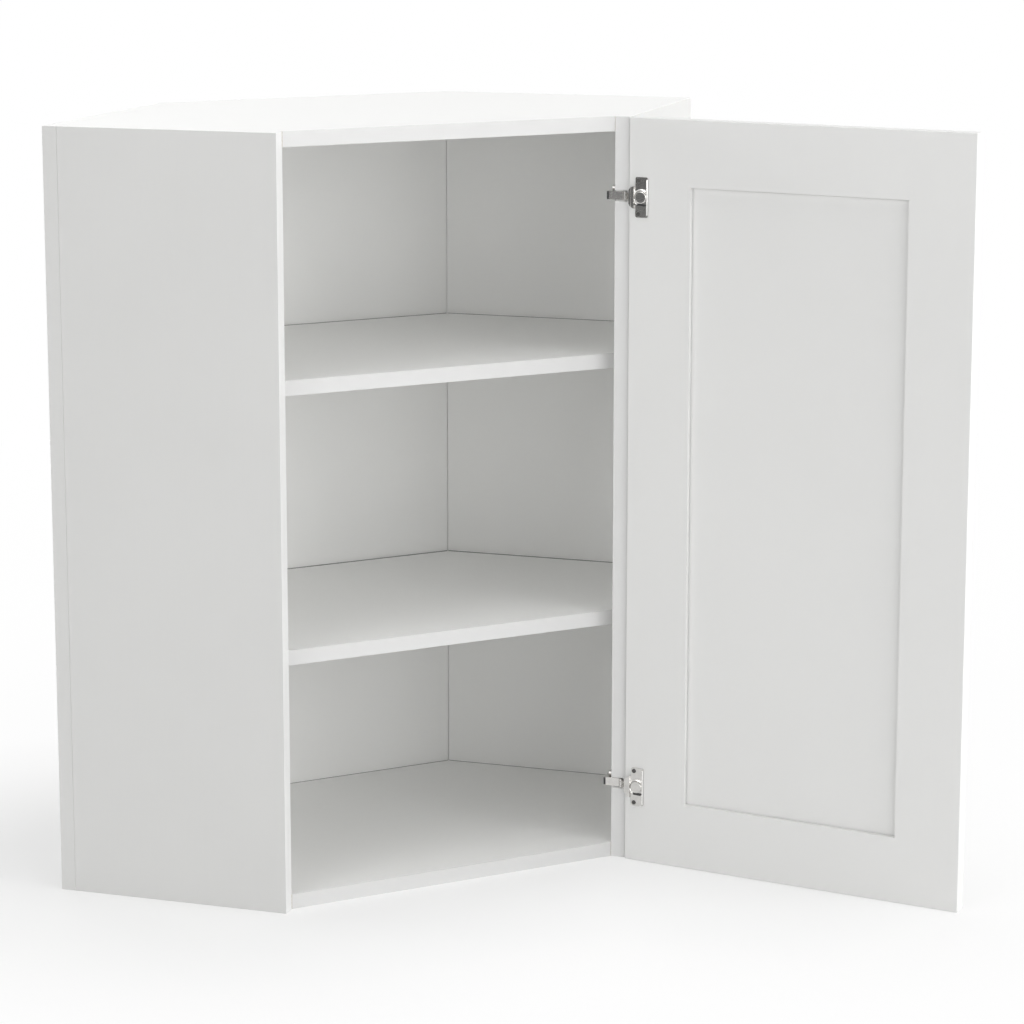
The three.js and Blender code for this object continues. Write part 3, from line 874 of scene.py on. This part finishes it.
def makeBlock(size, soften):
    bm = bmesh.new()
    bmesh.ops.create_cube(bm, size=1)
    bmesh.ops.scale(bm, vec=size, verts=bm.verts)
    roundArrises(bm, bm.edges[:], soften)
    return bm


def spinRing(profile, steps, sweep=fullTurn):  # of radius and height in mm
    bm = bmesh.new()
    points = [bm.verts.new((radius * mm, 0, height * mm)) for radius, height in profile]
    edges = [bm.edges.new(pair) for pair in zip(points, points[1:])]
    bmesh.ops.spin(bm, geom=points + edges, cent=(0, 0, 0), axis=(0, 0, 1), angle=sweep,
                   steps=steps, use_merge=sweep == fullTurn)
    bmesh.ops.remove_doubles(bm, verts=bm.verts, dist=weldDistance)
    bmesh.ops.holes_fill(bm, edges=[edge for edge in bm.edges if edge.is_boundary])
    bmesh.ops.recalc_face_normals(bm, faces=bm.faces)
    return bm


# Soft-close damper in the leaf: a turned barrel, a collar part way round it, and a black block under it

damper = {
    "barrel": [(0, 0), (6.3, 0), (6.3, 10.7), (7.2, 10.7), (7.2, 12.7), (7.1, 13.1), (6.8, 13.35),
               (6.5, 13.4), (6.3, 13.4), (6.2, 13.25), (6.0, 13.25), (0, 13.25)],
    "barrelSteps": 48,
    "x": 16.3 * mm,
    "depth": 9 * mm,
    "collar": [(8.0, 9.6), (8.0, 11.6), (8.3, 12.2), (8.9, 12.5), (9.5, 12.2), (9.9, 11.6), (9.9, 9.6),
               (8.0, 9.6)],
    "collarSteps": 32,
    "collarFrom": math.radians(50),
    "collarSweep": math.radians(180),
    "boss": [(0, 9.6), (1.7, 9.6), (1.7, 12.6), (1.4, 12.9), (0.8, 12.9), (0.6, 12.2), (0, 12.2)],
    "bossSteps": 24,
    "bossRadius": 8.9 * mm,
    "blackBlock": (10.0 * mm, 3.4 * mm, 2.3 * mm),
    "blackBlockPlace": (17.1 * mm, -1.9 * mm, -8.9 * mm),
    "blackBlockTilt": math.radians(3),
    "blackBlockSoften": 0.6 * mm,
    "rim": {"size": (2.0 * mm, 2.0 * mm, 43 * mm), "place": (24.2 * mm, -2.1 * mm), "soften": 0.95 * mm},
}


def makeDamper(prefix, look):
    height = middleHeight(prefix + "soft_close_damper")
    centre = doorPlace @ Matrix.Translation((look["x"], look["depth"], height))
    facing = centre @ Matrix.Rotation(quarterTurn, 4, "X")
    barrel = spinRing(look["barrel"], look["barrelSteps"])
    bmesh.ops.transform(barrel, matrix=facing, verts=barrel.verts)
    finishMetal(prefix + "soft_close_damper", barrel, "door", nickelFinish)
    collar = spinRing(look["collar"], look["collarSteps"], look["collarSweep"])
    start = facing @ Matrix.Rotation(look["collarFrom"], 4, "Z")
    bmesh.ops.transform(collar, matrix=start, verts=collar.verts)
    addExtra(prefix + "damper_collar", collar, "door", polishedFinish)
    boss = spinRing(look["boss"], look["bossSteps"])
    end = facing @ Matrix.Rotation(look["collarFrom"] + look["collarSweep"], 4, "Z")
    bossPlace = end @ Matrix.Translation((look["bossRadius"], 0, 0))
    bmesh.ops.transform(boss, matrix=bossPlace, verts=boss.verts)
    addExtra(prefix + "damper_boss", boss, "door", polishedFinish)
    makeBlackBlock(prefix, look, height)
    makeRim(prefix, look["rim"], height)


# a near-black block where a dark bar shows under the barrel
def makeBlackBlock(prefix, look, height):
    bm = makeBlock(look["blackBlock"], look["blackBlockSoften"])
    x, y, drop = look["blackBlockPlace"]
    place = Matrix.Translation((x, y, height + drop)) @ Matrix.Rotation(look["blackBlockTilt"], 4, "Y")
    bmesh.ops.transform(bm, matrix=doorPlace @ place, verts=bm.verts)
    addExtra(prefix + "damper_switch", bm, "door", blackBlockFinish)


def makeRim(prefix, look, height):
    bm = makeBlock(look["size"], look["soften"])
    x, y = look["place"]
    bmesh.ops.transform(bm, matrix=doorPlace @ Matrix.Translation((x, y, height)), verts=bm.verts)
    addExtra(prefix + "leaf_rolled_rim", bm, "door", polishedFinish)


# Arm end: a black plastic cap where the arm turns back into the cabinet. Its axes start at the
# right side panel's inner front corner: x into the cabinet, y out past the front edge, z up.

armCap = {"from": (8.0 * mm, -6.0 * mm), "to": (10.7 * mm, -2.7 * mm), "halfHeight": 4.7 * mm,
          "soften": 0.3 * mm}


def sideCorner():
    corners = [vert.co for vert in nodes["right_side_panel"].data.vertices]
    across = max(co.dot(rightAlong) for co in corners)
    out = max(co.dot(rightOut) for co in corners)
    return rightAlong * across + rightOut * out


def makeArmCap(prefix, look):
    (near, inner), (far, outer) = look["from"], look["to"]
    bm = makeBlock((far - near, outer - inner, 2 * look["halfHeight"]), look["soften"])
    middle = sideCorner() + rightAlong * (near + far) / 2 + rightOut * (inner + outer) / 2
    middle.z = middleHeight(prefix + "hinge_arm")
    axes = Matrix((rightAlong, rightOut, up)).transposed().to_4x4()
    bmesh.ops.transform(bm, matrix=Matrix.Translation(middle) @ axes, verts=bm.verts)
    bmesh.ops.recalc_face_normals(bm, faces=bm.faces)
    addExtra(prefix + "arm_end_cap", bm, "carcass", blackBlockFinish)


for prefix in ("upper_", "lower_"):
    makeHinge(prefix, hinge)
    makeDamper(prefix, damper)
    makeArmCap(prefix, armCap)

for node in nodes:
    if node.endswith("_dowel"):
        for holder in nodes[node].material_slots:
            holder.material = beechFinish
    elif node.endswith("_pin") and "shelf" in node:
        makeShelfPin(node, shelfPin)
print("metal pieces finished")
